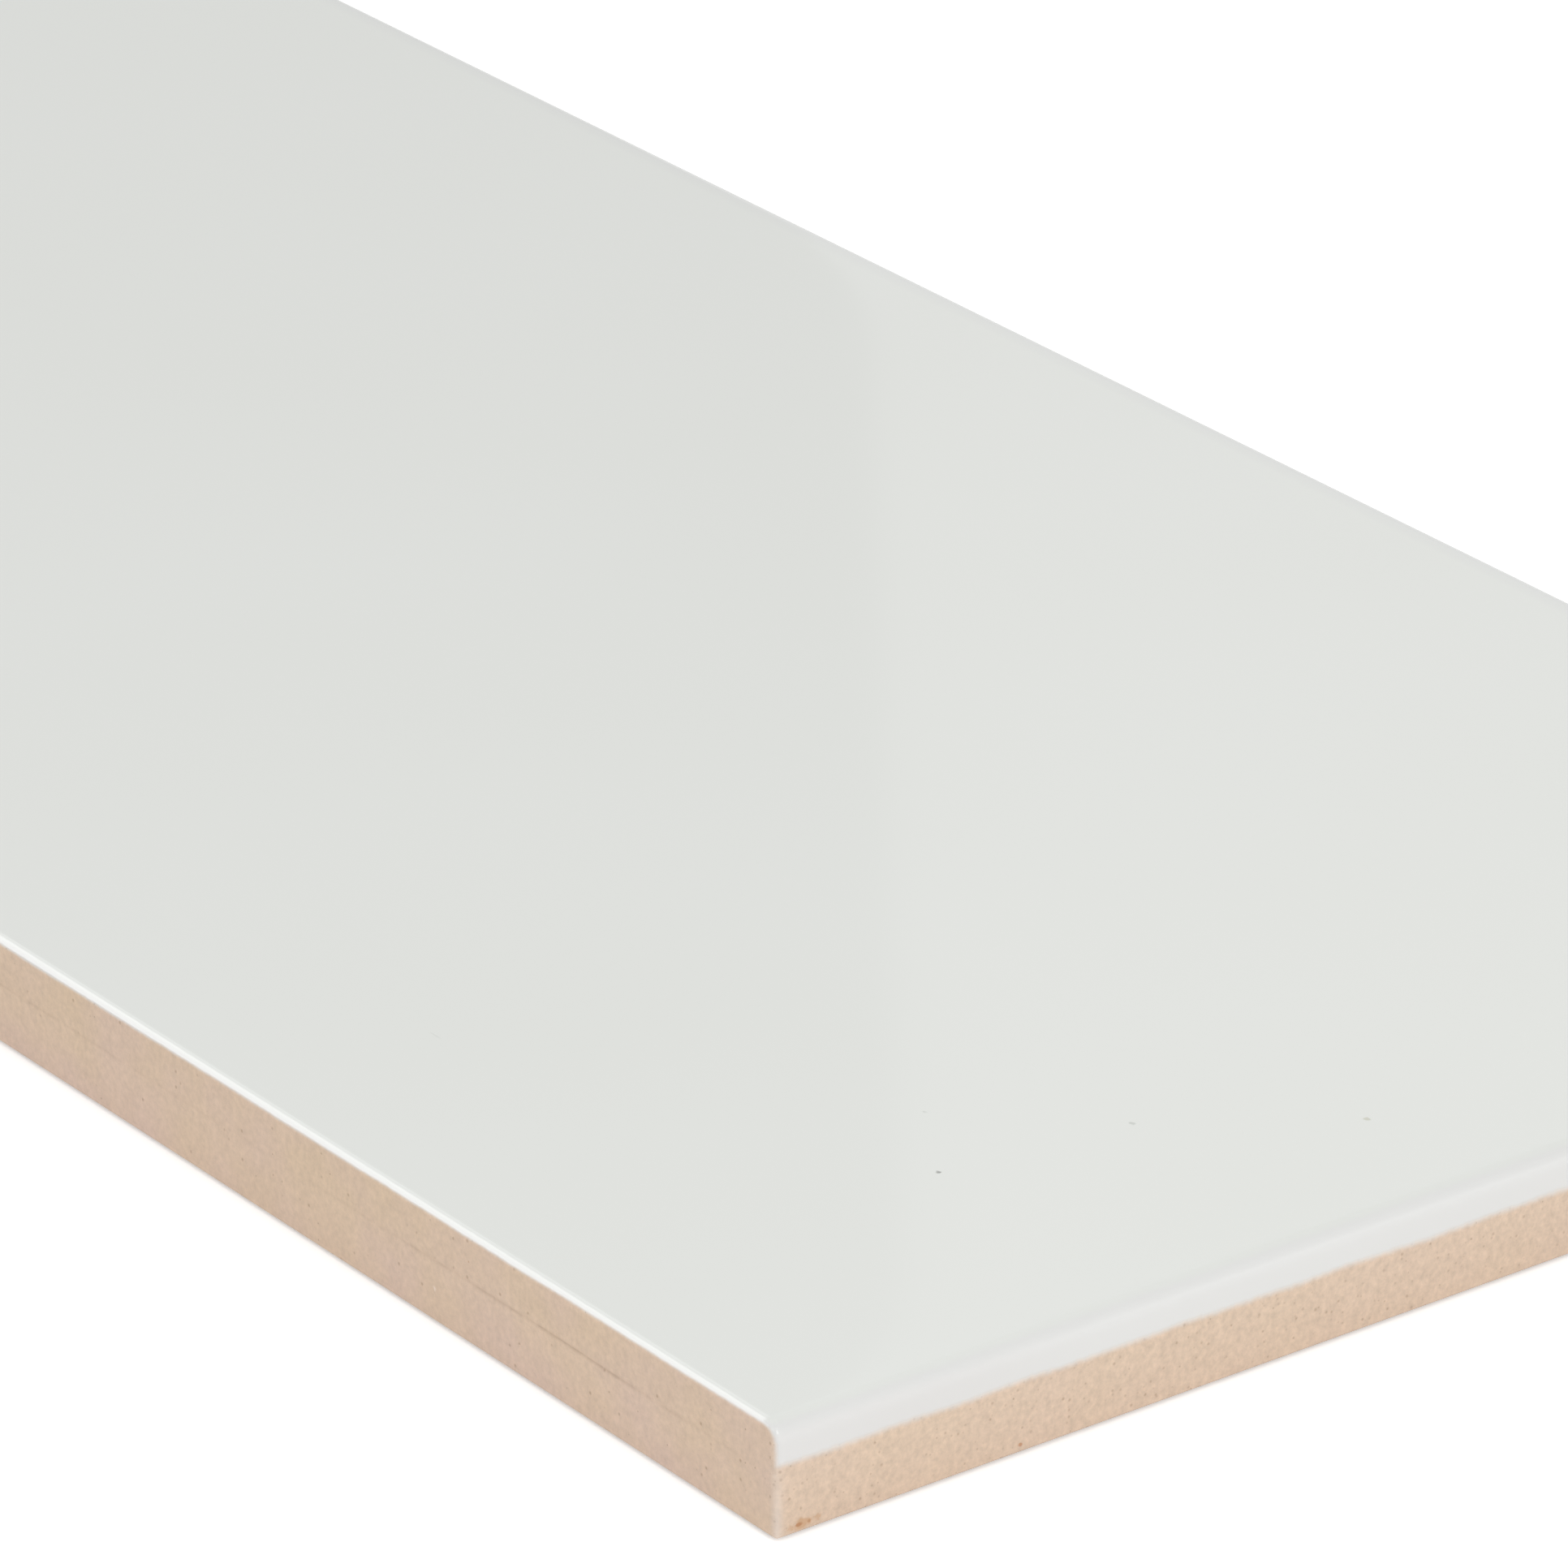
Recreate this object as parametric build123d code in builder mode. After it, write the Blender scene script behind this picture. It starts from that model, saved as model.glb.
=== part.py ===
from build123d import *
import math
import os

os.makedirs("parts", exist_ok=True)

# A glazed wall tile of pressed and fired earthenware, lying on its keyed back with the glazed face up.
# Lengths are in millimetres, X runs along the tile, Y across it and Z up from the floor.

# Overall size, measured at the widest line of the edge
tile_length = 300.0
tile_width = 100.0
tile_thickness = 6.5
corner_radius = 0.5

# The edge is pressed in two halves of a die, so both halves lean in from the line where they meet
parting_height = 3.6
edge_lean = 0.5
back_arris = 0.12

# The glazed face is flat in the middle and falls a little towards every edge
crown_run = 5.0
crown_fall = 0.04

# The long edges have a tight arris, the short ends a broad cushion
long_arris = 0.5
end_cushion = 1.05
glaze_overhang = 0.03

# The back is pressed with rows of shallow square keys for the adhesive, inside a plain rim
key_pitch = 14.4
key_rib = 2.4
key_depth = 0.6
key_lean = 30.0
rim_least = 6.0

# Derived sizes
half_length = tile_length / 2
half_width = tile_width / 2
crown_edge = tile_thickness - crown_fall
below_back = -1.0
key_size = key_pitch - key_rib
keys_along = math.floor((tile_length - 2 * rim_least) / key_pitch)
keys_across = math.floor((tile_width - 2 * rim_least) / key_pitch)

with BuildPart() as tile:
    # Body, drawn at the parting line and leaning in above and below it
    with BuildSketch(Plane.XY.offset(parting_height)) as outline:
        RectangleRounded(tile_length, tile_width, corner_radius)
    extrude(amount=tile_thickness - parting_height, taper=edge_lean)
    extrude(outline.sketch, amount=-parting_height, taper=edge_lean)

    # Cross section, which gives the crown across the tile and the tight arris of the long edges
    with BuildSketch(Plane.YZ) as cross_section:
        with BuildLine():
            crown_start = half_width - long_arris - crown_run
            face = Line((0, tile_thickness), (crown_start, tile_thickness))
            crown = TangentArc(face @ 1, (half_width - long_arris, crown_edge), tangent=(1, 0))
            arris_end = (half_width + glaze_overhang, crown_edge - long_arris)
            arris = TangentArc(crown @ 1, arris_end, tangent=crown % 1)
            Polyline(arris @ 1, (half_width + glaze_overhang, below_back), (0, below_back))
            mirror(about=Plane.YZ)
        make_face()
    extrude(amount=tile_length, both=True, mode=Mode.INTERSECT)

    # Long section, which gives the crown along the tile and the broad cushion of the short ends
    with BuildSketch(Plane.XZ) as long_section:
        with BuildLine():
            crown_start = half_length - end_cushion - crown_run
            face = Line((0, tile_thickness), (crown_start, tile_thickness))
            crown = TangentArc(face @ 1, (half_length - end_cushion, crown_edge), tangent=(1, 0))
            cushion_end = (half_length + glaze_overhang, crown_edge - end_cushion)
            cushion = TangentArc(crown @ 1, cushion_end, tangent=crown % 1)
            Polyline(cushion @ 1, (half_length + glaze_overhang, below_back), (0, below_back))
            mirror(about=Plane.YZ)
        make_face()
    extrude(amount=tile_width, both=True, mode=Mode.INTERSECT)

    # Worn arris around the back
    chamfer(tile.faces().sort_by(Axis.Z)[0].outer_wire().edges(), back_arris)

    # Keys pressed into the back, with leaning walls that let the die come away
    with BuildSketch(Plane.XY) as keys:
        with GridLocations(key_pitch, key_pitch, keys_along, keys_across):
            Rectangle(key_size, key_size)
    extrude(amount=key_depth, taper=key_lean, mode=Mode.SUBTRACT)

tile.part.label = "tile"
export_step(tile.part, "parts/tile.step")
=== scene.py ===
import math
import bmesh
import bpy
from mathutils import Matrix, Vector, noise


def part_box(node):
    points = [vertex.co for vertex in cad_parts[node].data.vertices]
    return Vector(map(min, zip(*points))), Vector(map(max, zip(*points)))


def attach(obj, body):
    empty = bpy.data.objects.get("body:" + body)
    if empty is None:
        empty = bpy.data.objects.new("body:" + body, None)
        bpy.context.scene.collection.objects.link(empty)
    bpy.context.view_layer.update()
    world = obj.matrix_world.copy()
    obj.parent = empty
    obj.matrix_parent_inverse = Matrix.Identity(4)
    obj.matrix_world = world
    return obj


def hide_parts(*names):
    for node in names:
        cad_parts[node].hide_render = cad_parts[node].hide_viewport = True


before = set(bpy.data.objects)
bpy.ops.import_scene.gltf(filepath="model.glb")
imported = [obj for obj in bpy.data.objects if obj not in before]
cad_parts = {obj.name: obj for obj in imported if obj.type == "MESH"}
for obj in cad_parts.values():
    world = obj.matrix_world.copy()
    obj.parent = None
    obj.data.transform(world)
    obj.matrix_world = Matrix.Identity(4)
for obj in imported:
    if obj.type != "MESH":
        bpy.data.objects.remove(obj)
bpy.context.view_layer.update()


# Tile body.
# One slab of fine earthenware clay, pressed dry in a two-part die and fired. The die halves meet
# part way up the edge, and both lean in from there so that the slab comes free.
mm = 0.001
touch = 0.001 * mm
low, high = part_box("tile")
length, width, thickness = high - low
half_length, half_width = length / 2, width / 2
parting_height = 3.6 * mm
edge_lean = math.radians(0.5)


def pick(kind, wanted):
    """Select only those faces, edges or verts of the piece in edit mode that the test wants."""
    bpy.ops.mesh.select_mode(type={"verts": "VERT", "edges": "EDGE", "faces": "FACE"}[kind])
    bpy.ops.mesh.select_all(action="DESELECT")
    shape = bmesh.from_edit_mesh(bpy.context.object.data)
    for part in getattr(shape, kind):
        if wanted(part):
            part.select_set(True)
    shape.select_flush_mode()
    bmesh.update_edit_mesh(bpy.context.object.data)


bpy.ops.object.select_all(action="DESELECT")
bpy.ops.mesh.primitive_cube_add(size=1, location=(0, 0, thickness / 2))
tile = bpy.context.object
tile.name = tile.data.name = "glazed_tile"
tile.scale = (length, width, thickness)
bpy.ops.object.transform_apply(location=True, rotation=True, scale=True)
bpy.ops.object.mode_set(mode="EDIT")
bpy.ops.mesh.select_all(action="SELECT")
bpy.ops.mesh.bisect(plane_co=(0, 0, parting_height), plane_no=(0, 0, 1))
for level, climb in ((thickness, thickness - parting_height), (0, parting_height)):
    lean = climb * math.tan(edge_lean)
    pick("verts", lambda v: abs(v.co.z - level) < touch)
    bpy.ops.transform.resize(
        value=(1 - 2 * lean / length, 1 - 2 * lean / width, 1), center_override=(0, 0, 0)
    )
bpy.ops.object.mode_set(mode="OBJECT")

# The short ends get a broad cushion, the long edges a tight arris, and the upright corners
# and the back edge are only eased.
end_cushion = 1.05 * mm
long_arris = 0.5 * mm
corner_radius = 0.5 * mm
back_arris = 0.12 * mm
weights = tile.data.attributes.new("bevel_weight_edge", "FLOAT", "EDGE").data
for edge in tile.data.edges:
    a, b = (tile.data.vertices[i].co for i in edge.vertices)
    if max(a.z, b.z) < touch:
        radius = back_arris
    elif min(a.z, b.z) > thickness - touch:
        radius = end_cushion if a.x * b.x > 0 else long_arris
    elif abs(a.z - b.z) > touch:
        radius = corner_radius
    else:
        radius = 0
    weights[edge.index].value = radius / end_cushion
rounding = tile.modifiers.new("rounding", "BEVEL")
rounding.limit_method = "WEIGHT"
rounding.width = end_cushion
rounding.segments = 8
bpy.ops.object.modifier_apply(modifier="rounding")

# Lines across the face and down the edges, in millimetres, close together where the form or the
# glaze turns. The even lines of the middle stop short of the closer ones.
step_along, step_across = 2.5, 1.25
past_rounding = [0.25, 0.6, 1.0, 1.5, 2.1, 2.8, 3.6, 4.6, 5.8, 7.2, 8.8]
from_end = [0.15, 0.3, 0.45, 0.6, 0.8]
up_edge = [3.44, 3.76, 3.88, 4.0, 4.15, 4.3, 4.6, 4.9, 5.2, 5.45, 5.65, 5.8]
clear_of_back = -0.9
along = [i * step_along * mm - half_length for i in range(6, 115)]
across = [i * step_across * mm - half_width for i in range(9, 72)]
for near in from_end:
    along += [half_length - near * mm, near * mm - half_length]
for near in past_rounding:
    along += [half_length - end_cushion - near * mm, near * mm + end_cushion - half_length]
    across += [half_width - long_arris - near * mm, near * mm + long_arris - half_width]
cuts = [((x, 0, 0), (1, 0, 0)) for x in along]
cuts += [((0, y, 0), (0, 1, 0)) for y in across]
cuts += [((0, 0, z * mm), (0, 0, 1)) for z in up_edge]
bpy.ops.object.mode_set(mode="EDIT")
for point, way in cuts:
    pick("faces", lambda f: f.normal.z > clear_of_back)
    bpy.ops.mesh.bisect(plane_co=point, plane_no=way, threshold=10 * touch)

# The back is pressed with rows of shallow square keys that the adhesive grips
key_pitch, key_rib, key_depth = 14.4 * mm, 2.4 * mm, 0.6 * mm
key_lean = math.radians(30)
key_rounding = 1.0 * mm
keys_along, keys_across = 20, 6
plain_rim = 4 * mm
facing_down = -0.99
reach_along, reach_across = keys_along * key_pitch / 2, keys_across * key_pitch / 2
key_cuts = [((i * key_pitch - reach_along, 0, 0), (1, 0, 0)) for i in range(keys_along + 1)]
key_cuts += [((0, i * key_pitch - reach_across, 0), (0, 1, 0)) for i in range(keys_across + 1)]
for point, way in key_cuts:
    pick("faces", lambda f: f.normal.z < facing_down)
    bpy.ops.mesh.bisect(plane_co=point, plane_no=way)


def is_key(face):
    """A face of the back inside the rows of keys."""
    middle = face.calc_center_median()
    inside = abs(middle.x) < reach_along and abs(middle.y) < reach_across
    return face.normal.z < facing_down and inside


def key_corner(edge):
    """An edge that climbs a corner of a key."""
    a, b = (v.co for v in edge.verts)
    climbs = abs(abs(a.z - b.z) - key_depth) < touch and min(a.z, b.z) < touch
    return climbs and abs(a.x) < half_length - plain_rim and abs(a.y) < half_width - plain_rim


pick("faces", is_key)
bpy.ops.mesh.inset(thickness=key_rib / 2, use_individual=True)
bpy.ops.mesh.inset(
    thickness=key_depth * math.tan(key_lean), depth=-key_depth, use_individual=True
)
pick("edges", key_corner)
bpy.ops.mesh.bevel(offset=key_rounding, segments=3, affect="EDGES")
bpy.ops.object.mode_set(mode="OBJECT")

# The face is flat in the middle and falls a little to every edge, as pressed clay dries and
# shrinks. Only what lies above a set height sinks with it, after a short blend.
crown_run, crown_fall = 10.0 * mm, 0.04 * mm
sinks_above, sink_blend = 5.0 * mm, 0.2 * mm


def fall(inward):
    """How far the face has dropped at a share of the crown's run, going on in line past its end."""
    if inward <= 0:
        return 0.0
    return crown_fall * (inward ** 4 if inward < 1 else 4 * inward - 3)


for v in tile.data.vertices:
    if v.co.z > sinks_above:
        run_x = (abs(v.co.x) - half_length + end_cushion + crown_run) / crown_run
        run_y = (abs(v.co.y) - half_width + long_arris + crown_run) / crown_run
        share = min((v.co.z - sinks_above) / sink_blend, 1)
        v.co.z -= math.hypot(fall(run_x), fall(run_y)) * share

# Where the die halves met, a fine groove runs along the edge. It wanders a little and is deeper in
# some places than in others.
groove_depth, groove_half = 0.05 * mm, 0.16 * mm
usual_share, least_share = 0.5, 0.1


def held(value, least, most):
    """The value, kept between the least and the most."""
    return min(max(value, least), most)


def wave(run, swing, spacing, row):
    """An uneven wave along the edge, with its spacing in millimetres; each row is another wave."""
    return swing * noise.noise((run / spacing, row, 0))


seam = tile.data.attributes.new("parting_seam", "FLOAT", "POINT").data
for v in tile.data.vertices:
    away_from_seam = abs(v.co.z - parting_height)
    on_long_edge = abs(v.co.x) < half_length - corner_radius - touch
    if on_long_edge and away_from_seam < groove_half + touch:
        run = (v.co.x + v.co.y) / mm
        deep = held(usual_share + wave(run, swing=1.1, spacing=24, row=11.2), least_share, 1)
        wander = wave(run, swing=0.11, spacing=17, row=5.2)
        wander += wave(run, swing=0.03, spacing=5, row=8.6)
        v.co.z += mm * wander
        if away_from_seam < touch:
            seam[v.index].value = deep
            v.co.y -= math.copysign(groove_depth * deep, v.co.y)

# The glaze is poured on and wiped off the edges. It stops on the arris of the long edges, turns
# down the upright corners and ends part way down the short ends, and the wiping leaves long waves
# in its line. Each point keeps how far inside the glaze it is, in shares of the soft rim there,
# and how much painted highlight it gets at an upright corner.
end_glaze, long_glaze = 4.0 * mm, 6.12 * mm
arris_bend, corner_turn, corner_wrap = 0.05 * mm, 0.9 * mm, 0.12 * mm
end_rim, long_rim, rim_change = 0.23 * mm, 0.12 * mm, 1.0 * mm
wiping, long_wave, end_wave = 0.07 * mm, 29 * mm, 25 * mm
long_wave_start, end_wave_start = 118 * mm, -25 * mm
most_rims = 6
sheen_full, sheen_reach = 1.4, 0.42 * mm
glaze_edge = tile.data.attributes.new("glaze_edge", "FLOAT", "POINT").data
corner_sheen = tile.data.attributes.new("corner_sheen", "FLOAT", "POINT").data
for v in tile.data.vertices:
    in_x, in_y = half_length - abs(v.co.x), half_width - abs(v.co.y)
    long_line = long_glaze + wiping * math.sin((abs(v.co.x) - long_wave_start) / long_wave)
    end_line = end_glaze - wiping * math.sin((v.co.y - end_wave_start) / end_wave)
    above = v.co.z + in_y - long_line - arris_bend + corner_turn
    beyond = in_y - in_x + corner_wrap + corner_turn
    inside = math.hypot(max(above, 0), max(beyond, 0)) + min(max(above, beyond), 0) - corner_turn
    rim = end_rim + (long_rim - end_rim) * held(in_x / rim_change, 0, 1)
    rims_in = min(inside, v.co.z - end_line) / rim
    glaze_edge[v.index].value = held(rims_in, -most_rims, most_rims)
    corner_sheen[v.index].value = held(sheen_full - max(in_x, in_y) / sheen_reach, 0, 1)
bpy.ops.object.shade_smooth_by_angle(angle=math.radians(30))


# Glazed earthenware.
# White opaque glaze, fired to a smooth gloss over a porous peach biscuit with sandy grain and
# scattered iron specks. The glaze shows the lights, the biscuit is matt.
def linear(colour):
    """The linear value of an sRGB hex colour."""
    parts = [int(colour[i:i + 2], 16) / 255 for i in (1, 3, 5)]
    return [c / 12.92 if c <= 0.04045 else ((c + 0.055) / 1.055) ** 2.4 for c in parts] + [1.0]


def emptied(owner):
    """The node tree of a material or a world, with nothing in it yet."""
    owner.use_nodes = True
    owner.node_tree.nodes.clear()
    return owner.node_tree


def add(tree, kind, settings=None, **links):
    """Add a node, give it its settings, fill its sockets with values or with other nodes' outputs
    and hand back its own outputs. A socket goes by its name, or by i and its number."""
    made = tree.nodes.new("ShaderNode" + kind)
    for name, value in (settings or {}).items():
        setattr(made, name, value)
    for name, value in links.items():
        numbered = name[0] == "i" and name[1:].isdigit()
        socket = made.inputs[int(name[1:]) if numbered else name.replace("_", " ")]
        if isinstance(value, bpy.types.NodeSocket):
            tree.links.new(value, socket)
        else:
            socket.default_value = value
    return made.outputs


plus, minus, times, times_plus, no_sign, larger = (
    {"operation": name}
    for name in ("ADD", "SUBTRACT", "MULTIPLY", "MULTIPLY_ADD", "ABSOLUTE", "GREATER_THAN")
)
colour_mix = {"data_type": "RGBA"}
smooth = {"interpolation_type": "SMOOTHSTEP"}
unheld = {"clamp": False}
ware = bpy.data.materials.new("glazed_earthenware")
tree = emptied(ware)
place = add(tree, "TexCoord")["Object"]
axes = add(tree, "SeparateXYZ", Vector=place)

# The rim of the glaze wavers and is a little ragged: the size and detail of each unevenness and
# how many rims it moves the edge
edge = add(tree, "Attribute", {"attribute_name": "glaze_edge"})["Fac"]
for size, detail, swing in ((5 * mm, 1.0, 0.8), (0.45 * mm, 2.0, 0.4)):
    uneven = add(tree, "TexNoise", Vector=place, Scale=1 / size, Detail=detail)["Fac"]
    uneven = add(tree, "MapRange", unheld, Value=uneven, To_Min=-swing, To_Max=swing)[0]
    edge = add(tree, "Math", plus, i0=edge, i1=uneven)[0]
cover = add(tree, "MapRange", smooth, Value=edge, From_Min=-1.0, From_Max=1.6)[0]

# Where the short ends are, which show more sand than the long edges
end_starts, end_full = half_length - 0.6 * mm, half_length - 0.2 * mm
far_x = add(tree, "Math", no_sign, i0=axes["X"])[0]
at_end = add(tree, "MapRange", Value=far_x, From_Min=end_starts, From_Max=end_full)[0]

# Biscuit: broad golden and pink patches, more golden below the glaze and pinker towards the foot.
# The short ends are paler, and browner at their foot.
golden, pink, pale, brown = (linear(c) for c in ("#DEC6AC", "#DDC4B4", "#DFC8B2", "#CFB094"))
patch_size, end_paleness = 6 * mm, 0.75
patch = add(tree, "TexNoise", Vector=place, Scale=1 / patch_size, Detail=3.0)["Fac"]
patch = add(tree, "MapRange", Value=patch, From_Min=0.35, From_Max=0.65, To_Max=0.6)[0]
low_down = add(
    tree, "MapRange", Value=axes["Z"],
    From_Min=0.4 * mm, From_Max=4.4 * mm, To_Min=0.3, To_Max=0.0,
)[0]
patch = add(tree, "Math", plus, i0=patch, i1=low_down)[0]
biscuit = add(tree, "Mix", colour_mix, i0=patch, i6=golden, i7=pink)[2]
paler = add(tree, "Math", times, i0=at_end, i1=end_paleness)[0]
biscuit = add(tree, "Mix", colour_mix, i0=paler, i6=biscuit, i7=pale)[2]
foot = add(
    tree, "MapRange", Value=axes["Z"], From_Min=0.0, From_Max=3.4 * mm, To_Min=0.15, To_Max=0.0
)[0]
foot = add(tree, "Math", times, i0=foot, i1=at_end)[0]
biscuit = add(tree, "Mix", colour_mix, i0=foot, i6=biscuit, i7=brown)[2]

# Sand in the clay, stronger on the short ends, over a soft mottle. Real grains are finer than this
# and would be lost in the picture, so they are drawn coarser.
sand_size, mottle_size = 0.42 * mm, 1.2 * mm
middle_grey, sand_level, mottling = 0.5, 0.94, 0.12
sand = add(tree, "TexNoise", Vector=place, Scale=1 / sand_size, Detail=4.0, Roughness=0.7)["Fac"]
amount = add(tree, "MapRange", Value=at_end, To_Min=0.42, To_Max=0.52)[0]
sand_tone = add(tree, "Math", minus, i0=sand, i1=middle_grey)[0]
sand_tone = add(tree, "Math", times_plus, i0=sand_tone, i1=amount, i2=sand_level)[0]
mottle = add(tree, "TexNoise", Vector=place, Scale=1 / mottle_size, Detail=2.0)["Fac"]
sand_tone = add(tree, "Math", times_plus, i0=mottle, i1=mottling, i2=sand_tone)[0]
biscuit = add(tree, "VectorMath", {"operation": "SCALE"}, i0=biscuit, Scale=sand_tone)[0]

# Grains of other minerals: how far apart they lie, the share of them that shows on the long edges
# and on the short ends, their size as a share of the spacing, their colour and how strong it is.
# The smallest have half that size, and each is full in its core and fades from there.
grains = [
    (0.42, 0.1, 0.8, 0.34, "#94704F", 0.42),
    (0.7, 0.0, 0.3, 0.3, "#F1E6DA", 0.3),
    (1.4, 0.1, 0.3, 0.1, "#B07A4A", 0.5),
]
smallest, core = 0.5, 0.3
for spacing, on_edge, on_end, size, tint, strength in grains:
    cell = add(tree, "TexVoronoi", Vector=place, Scale=1 / (spacing * mm))
    least = add(tree, "MapRange", Value=at_end, To_Min=1 - on_edge, To_Max=1 - on_end)[0]
    draw = add(tree, "SeparateColor", Color=cell["Color"])
    shows = add(tree, "Math", larger, i0=draw[0], i1=least)[0]
    reach = add(tree, "MapRange", Value=draw[1], To_Min=smallest * size, To_Max=size)[0]
    grain = add(
        tree, "MapRange", Value=cell["Distance"],
        From_Min=core * size, From_Max=reach, To_Min=strength, To_Max=0.0,
    )[0]
    grain = add(tree, "Math", times, i0=grain, i1=shows)[0]
    biscuit = add(tree, "Mix", colour_mix, i0=grain, i6=biscuit, i7=linear(tint))[2]

# Painted shade darkens the parting groove, in broken lengths, and a painted highlight makes the
# upright corners paler, most low down
groove_shade_colour, corner_sheen_colour = linear("#8A6B52"), linear("#EBE0D8")
groove_shade_size = 1.1 * mm
groove = add(tree, "Attribute", {"attribute_name": "parting_seam"})["Fac"]
broken = add(tree, "TexNoise", Vector=place, Scale=1 / groove_shade_size, Detail=3.0)["Fac"]
broken = add(
    tree, "MapRange", Value=broken, From_Min=0.36, From_Max=0.6, To_Min=0.03, To_Max=0.26
)[0]
groove = add(tree, "Math", times, i0=groove, i1=broken)[0]
biscuit = add(tree, "Mix", colour_mix, i0=groove, i6=biscuit, i7=groove_shade_colour)[2]
# Painted highlight on the rounding of the upright corners, strongest low down
corner_sheen_share = add(tree, "Attribute", {"attribute_name": "corner_sheen"})["Fac"]
sheen_low_down = add(
    tree, "MapRange", Value=axes["Z"],
    From_Min=0.5 * mm, From_Max=4.0 * mm, To_Min=0.5, To_Max=0.15,
)[0]
corner_sheen_share = add(tree, "Math", times, i0=corner_sheen_share, i1=sheen_low_down)[0]
biscuit = add(tree, "Mix", colour_mix, i0=corner_sheen_share, i6=biscuit, i7=corner_sheen_colour)[2]

# Glaze: an even white with the faintest clouding. Over the rounding of the short ends it is painted
# darker, a painted shade, and below that painted brighter, a painted highlight that turns to a
# painted shade towards the upright corners.
# A painted shade greys it along the far long edge.
white, cloud_white = linear("#E4E6E1"), linear("#E6E8E4")
cushion_shade_white, end_lit_white, corner_shaded_white = linear("#E2E2E0"), linear("#E6E6E4"), linear("#E4E3E1")
far_shade_white = linear("#DFE0DE")
cloud_size = 30 * mm
corner_starts, corner_full = half_width - 22 * mm, half_width - 10 * mm
far_shade_starts, far_shade_full = half_width - 1.7 * mm, half_width - 0.2 * mm
cloud = add(tree, "TexNoise", Vector=place, Scale=1 / cloud_size, Detail=1.0)["Fac"]
glaze = add(tree, "Mix", colour_mix, i0=cloud, i6=white, i7=cloud_white)[2]
# Painted shade over the upper rounding of the short ends
cushion_shade = add(
    tree, "MapRange", smooth, Value=axes["Z"],
    From_Min=6.19 * mm, From_Max=6.45 * mm, To_Min=1.0, To_Max=0.0,
)[0]
glaze = add(tree, "Mix", colour_mix, i0=cushion_shade, i6=glaze, i7=cushion_shade_white)[2]
# Painted highlight below that rounding and down the glazed short ends, turning to painted shade
# near the upright corners
end_lit_share = add(
    tree, "MapRange", smooth, Value=axes["Z"],
    From_Min=5.72 * mm, From_Max=6.1 * mm, To_Min=1.0, To_Max=0.0,
)[0]
far_y = add(tree, "Math", no_sign, i0=axes["Y"])[0]
at_corner = add(
    tree, "MapRange", smooth, Value=far_y, From_Min=corner_starts, From_Max=corner_full
)[0]
end_lit_glaze = add(tree, "Mix", colour_mix, i0=at_corner, i6=end_lit_white, i7=corner_shaded_white)[2]
glaze = add(tree, "Mix", colour_mix, i0=end_lit_share, i6=glaze, i7=end_lit_glaze)[2]
# Painted shade along the rounding of the far long edge
far_edge_shade = add(tree, "MapRange", Value=axes["Y"], From_Min=far_shade_starts, From_Max=far_shade_full)[0]
glaze = add(tree, "Mix", colour_mix, i0=far_edge_shade, i6=glaze, i7=far_shade_white)[2]

# Single marks: the middle and half sizes of each in millimetres, its colour and how strong it is.
# A tan halo with two rust stains in it and an iron spot at the foot of the end, a pale chip on the
# long edge, and four pinholes and a scratch in the glaze.
stains = [
    ((150.0, -48.2, 0.45), (0.5, 1.0, 0.4), "#CB9B6E", 0.6),
    ((150.0, -48.6, 0.44), (0.5, 0.34, 0.12), "#B0754A", 0.62),
    ((150.0, -47.9, 0.44), (0.5, 0.18, 0.13), "#B57F57", 0.55),
    ((150.0, -34.3, 0.45), (0.5, 0.16, 0.14), "#B4703C", 0.6),
    ((120.0, -50.0, 1.9), (0.14, 0.5, 0.2), "#F3E3D8", 0.7),
]
pinholes = [
    ((132.3, -26.05, 6.5), (0.19, 0.19, 0.5), "#8E908A", 0.85),
    ((126.15, -22.25, 6.5), (0.24, 0.16, 0.5), "#BDC0BA", 0.55),
    ((133.9, -14.2, 6.5), (0.26, 0.16, 0.5), "#BDC0BA", 0.6),
    ((141.0, -3.85, 6.5), (0.26, 0.22, 0.5), "#C3C2AE", 0.65),
    ((102.8, -37.8, 6.5), (0.5, 0.06, 0.5), "#D2D4CF", 0.5),
]
blot_size = 0.35 * mm
blot = add(tree, "TexNoise", Vector=place, Scale=1 / blot_size, Detail=2.0)["Fac"]
blot = add(tree, "MapRange", unheld, Value=blot, To_Min=-0.9, To_Max=0.9)[0]


def marked(coat, marks):
    """The coat with its marks on it, each with a blotted edge."""
    for middle, half, tint, strength in marks:
        centre, sizes = ([c * mm for c in values] for values in (middle, half))
        offset = add(tree, "VectorMath", minus, i0=place, i1=centre)[0]
        offset = add(tree, "VectorMath", {"operation": "DIVIDE"}, i0=offset, i1=sizes)[0]
        reach = add(tree, "VectorMath", {"operation": "LENGTH"}, i0=offset)["Value"]
        reach = add(tree, "Math", plus, i0=reach, i1=blot)[0]
        mark = add(
            tree, "MapRange", smooth, Value=reach,
            From_Min=0.3, From_Max=1.1, To_Min=strength, To_Max=0.0,
        )[0]
        coat = add(tree, "Mix", colour_mix, i0=mark, i6=coat, i7=linear(tint))[2]
    return coat


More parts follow.
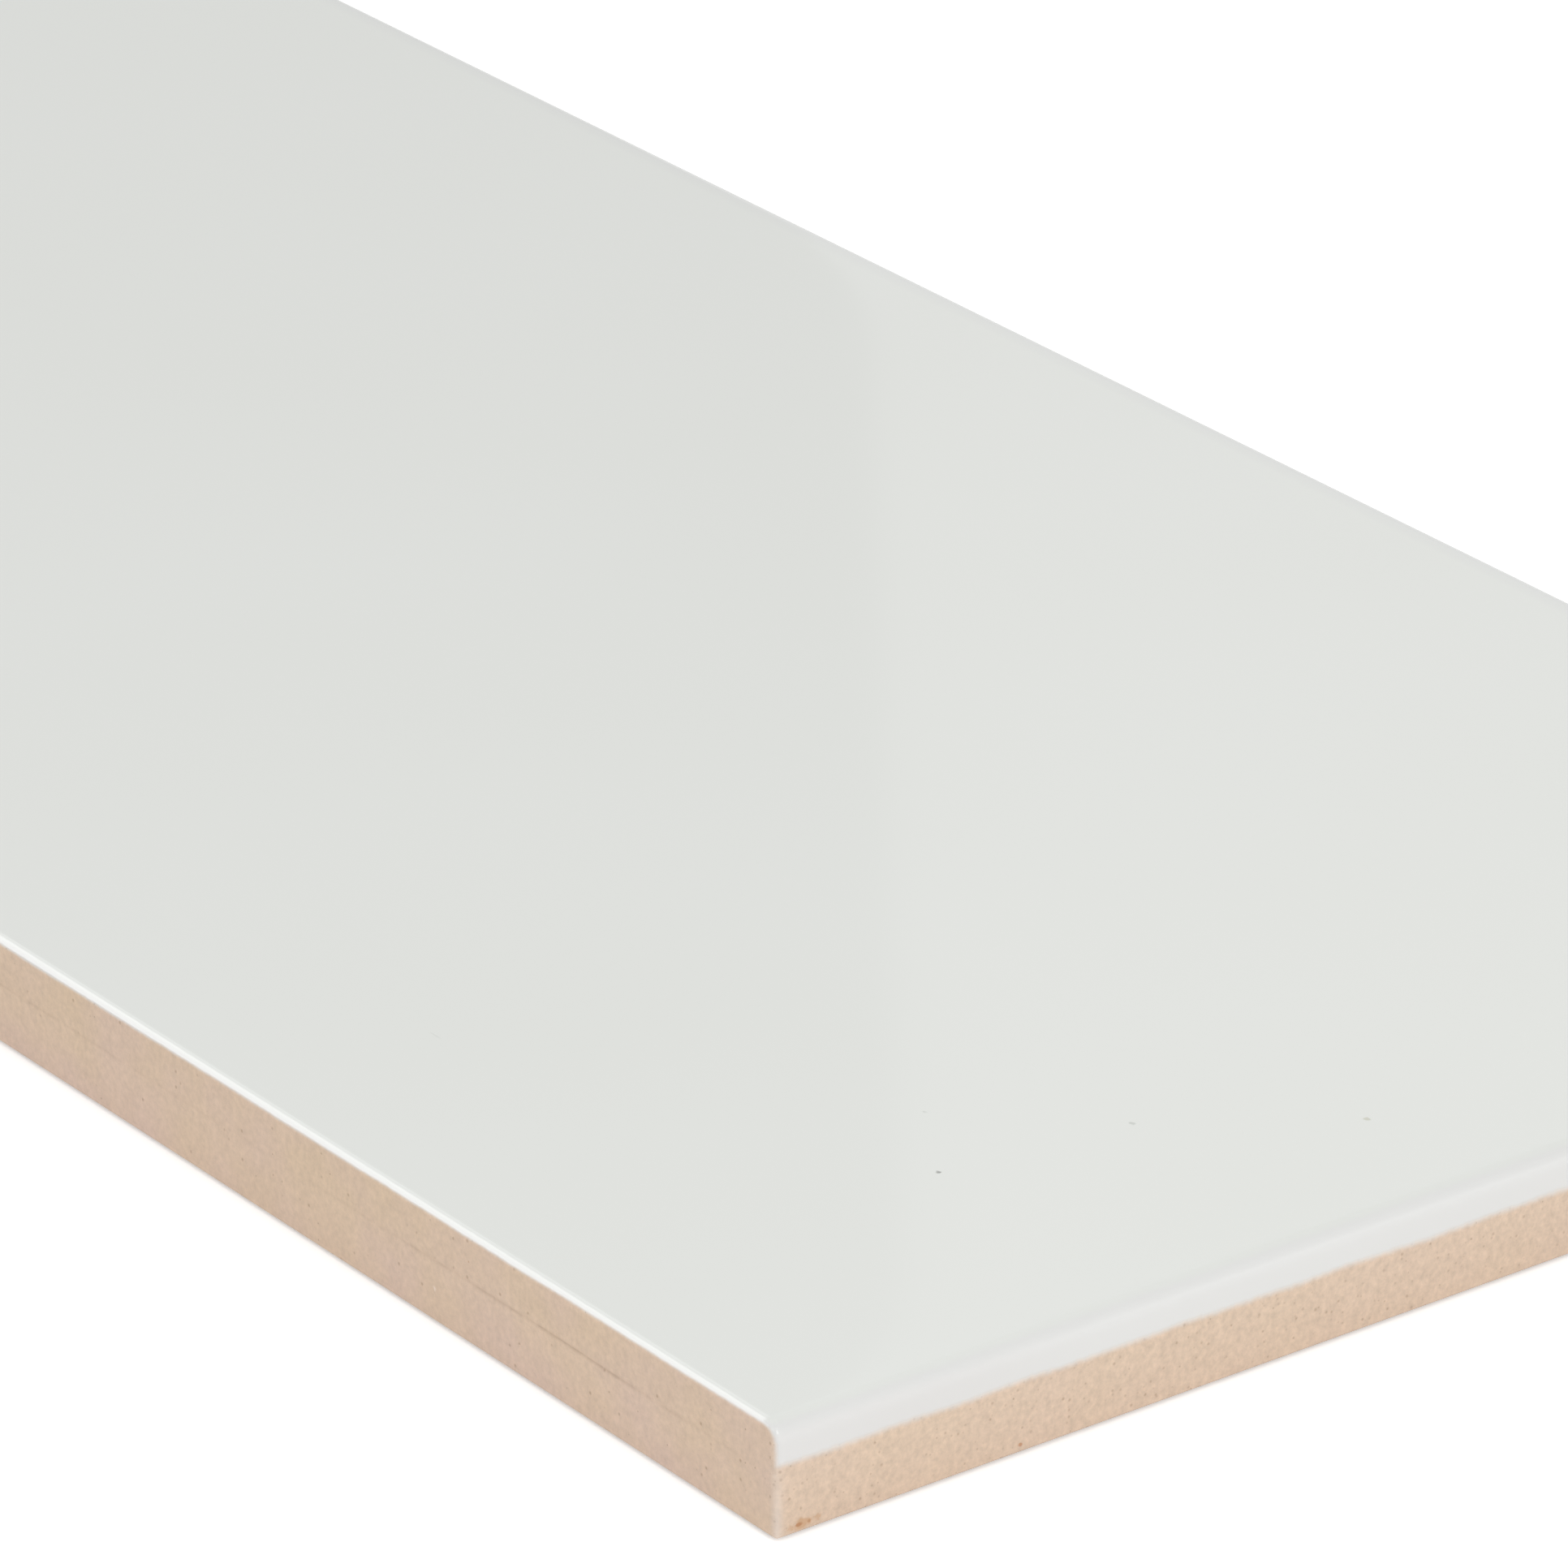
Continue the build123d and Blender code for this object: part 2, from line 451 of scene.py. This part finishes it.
# The finished skin: bare biscuit with sandy pores, and the gloss of the glaze where it covers
biscuit_roughness, glaze_roughness, glaze_ior = 0.9, 0.06, 1.5
pore_strength, pore_depth = 0.12, 0.1 * mm
biscuit, glaze = marked(biscuit, stains), marked(glaze, pinholes)
colour = add(tree, "Mix", colour_mix, i0=cover, i6=biscuit, i7=glaze)[2]
roughness = add(
    tree, "MapRange", Value=cover, To_Min=biscuit_roughness, To_Max=glaze_roughness
)[0]
bare = add(tree, "Math", minus, i0=1.0, i1=cover)[0]
pores = add(tree, "Math", times, i0=sand, i1=bare)[0]
relief = add(tree, "Bump", Height=pores, Strength=pore_strength, Distance=pore_depth)[0]
skin = add(
    tree, "BsdfPrincipled", Base_Color=colour, Roughness=roughness, IOR=glaze_ior, Normal=relief
)[0]
add(tree, "OutputMaterial", Surface=skin)
tile.data.materials.clear()
tile.data.materials.append(ware)
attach(tile, "root")
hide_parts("tile")


# Camera.
# A long lens near one corner of the tile, looking down over the face. Its place is measured from
# that corner: to the right, upwards in the picture and back along the view.
view_azimuth = math.radians(53.14)
view_drop = math.radians(24.62)
to_right, above_corner, distance = 0.4 * mm, 38.31 * mm, 535.1 * mm
right = Vector((math.cos(view_azimuth), math.sin(view_azimuth), 0))
away = Vector((-math.sin(view_azimuth), math.cos(view_azimuth), 0))
up = Vector((0, 0, 1))
look = math.cos(view_drop) * away - math.sin(view_drop) * up
rise = math.sin(view_drop) * away + math.cos(view_drop) * up
corner = Vector((half_length, -half_width, 0))
stand = corner + to_right * right + above_corner * rise - distance * look
turn = Matrix((right, rise, -look)).transposed().to_4x4()
camera = bpy.data.objects.new("camera", bpy.data.cameras.new("camera"))
bpy.context.collection.objects.link(camera)
camera.matrix_world = Matrix.Translation(stand) @ turn
camera.data.sensor_width = 36
camera.data.lens = 242.65
camera.data.clip_start = 0.01
bpy.context.scene.camera = camera


# Floor and lights.
# A white table under a bright even room. The left, upper and right panels show as bright lines in
# the rounded edges, the end, near and front panels light the biscuit and the face, and the edge of
# the back panel shows faintly in the face.
def seen_rays(tree):
    """One for rays that show a thing to the eye, straight, mirrored or through; else nothing."""
    rays = add(tree, "LightPath")
    seen = rays["Is Camera Ray"]
    for kind in ("Is Glossy Ray", "Is Transmission Ray"):
        seen = add(tree, "Math", {"operation": "MAXIMUM"}, i0=seen, i1=rays[kind])[0]
    return seen


white_light = linear("#FFFFFF")
table_size, table_drop, table_lift = 8, 0.2 * mm, 0.35
bpy.ops.object.select_all(action="DESELECT")
bpy.ops.mesh.primitive_plane_add(size=table_size, location=(0, 0, -table_drop))
floor = bpy.context.object
floor.name = "floor"
paper = bpy.data.materials.new("white_table")
tree = emptied(paper)
lift = add(tree, "Math", times, i0=seen_rays(tree), i1=table_lift)[0]
matt = add(tree, "BsdfDiffuse", Color=linear("#F2F2F2"))[0]
glow = add(tree, "Emission", Color=white_light, Strength=lift)[0]
both = add(tree, "AddShader", i0=matt, i1=glow)[0]
add(tree, "OutputMaterial", Surface=both)
floor.data.materials.append(paper)

room_light, room_seen = 0.48, 1.0
room = bpy.data.worlds.new("room")
bpy.context.scene.world = room
tree = emptied(room)
level = add(tree, "MapRange", Value=seen_rays(tree), To_Min=room_light, To_Max=room_seen)[0]
sky = add(tree, "Background", Color=white_light, Strength=level)[0]
add(tree, "OutputWorld", Surface=sky)


def panel(name, where, aim, size, radiance, roll=0):
    """A soft light of a size in metres, placed and aimed in the view's right, away and up."""
    spot = where[0] * right + where[1] * away + where[2] * up
    target = aim[0] * right + aim[1] * away + aim[2] * up
    lamp = bpy.data.objects.new(name, bpy.data.lights.new(name, "AREA"))
    bpy.context.collection.objects.link(lamp)
    lamp.data.shape = "RECTANGLE"
    lamp.data.size, lamp.data.size_y = size
    lamp.data.energy = radiance * math.pi * size[0] * size[1]
    lamp.visible_camera = False
    facing = (target - spot).to_track_quat("-Z", "Y").to_matrix().to_4x4()
    rolled = Matrix.Rotation(math.radians(roll), 4, "Z")
    lamp.matrix_world = Matrix.Translation(spot) @ facing @ rolled


panel("left_panel", (-1.93, 0.82, 1.2), (0, 0, 0), (0.75, 2.2), 3.2, roll=40)
panel("upper_panel", (-0.589, 1.4375, 1.334), (0, 0, 0), (0.5, 1.0), 0.8, roll=112)
panel("right_panel", (1.3, -0.155, 0.17), (0.1, -0.1, 0), (0.8, 0.3), 0.5)
panel("end_panel", (0.45, -0.8, 0.45), (0.03, -0.1, 0), (0.4, 0.4), 4.5)
panel("near_panel", (0.25, -0.3, 0.4), (0.03, -0.1, 0), (0.3, 0.3), 1.16)
panel("front_panel", (-0.25, -0.5, 0.4), (0, -0.1, 0), (0.3, 0.3), 1.4)
panel("back_panel", (0.7733, 1.5, 0.7274), (0.7733, 0, 0.7274), (1.4, 1.3), 0.2, roll=1.85)

bpy.context.scene.view_settings.view_transform = "Standard"
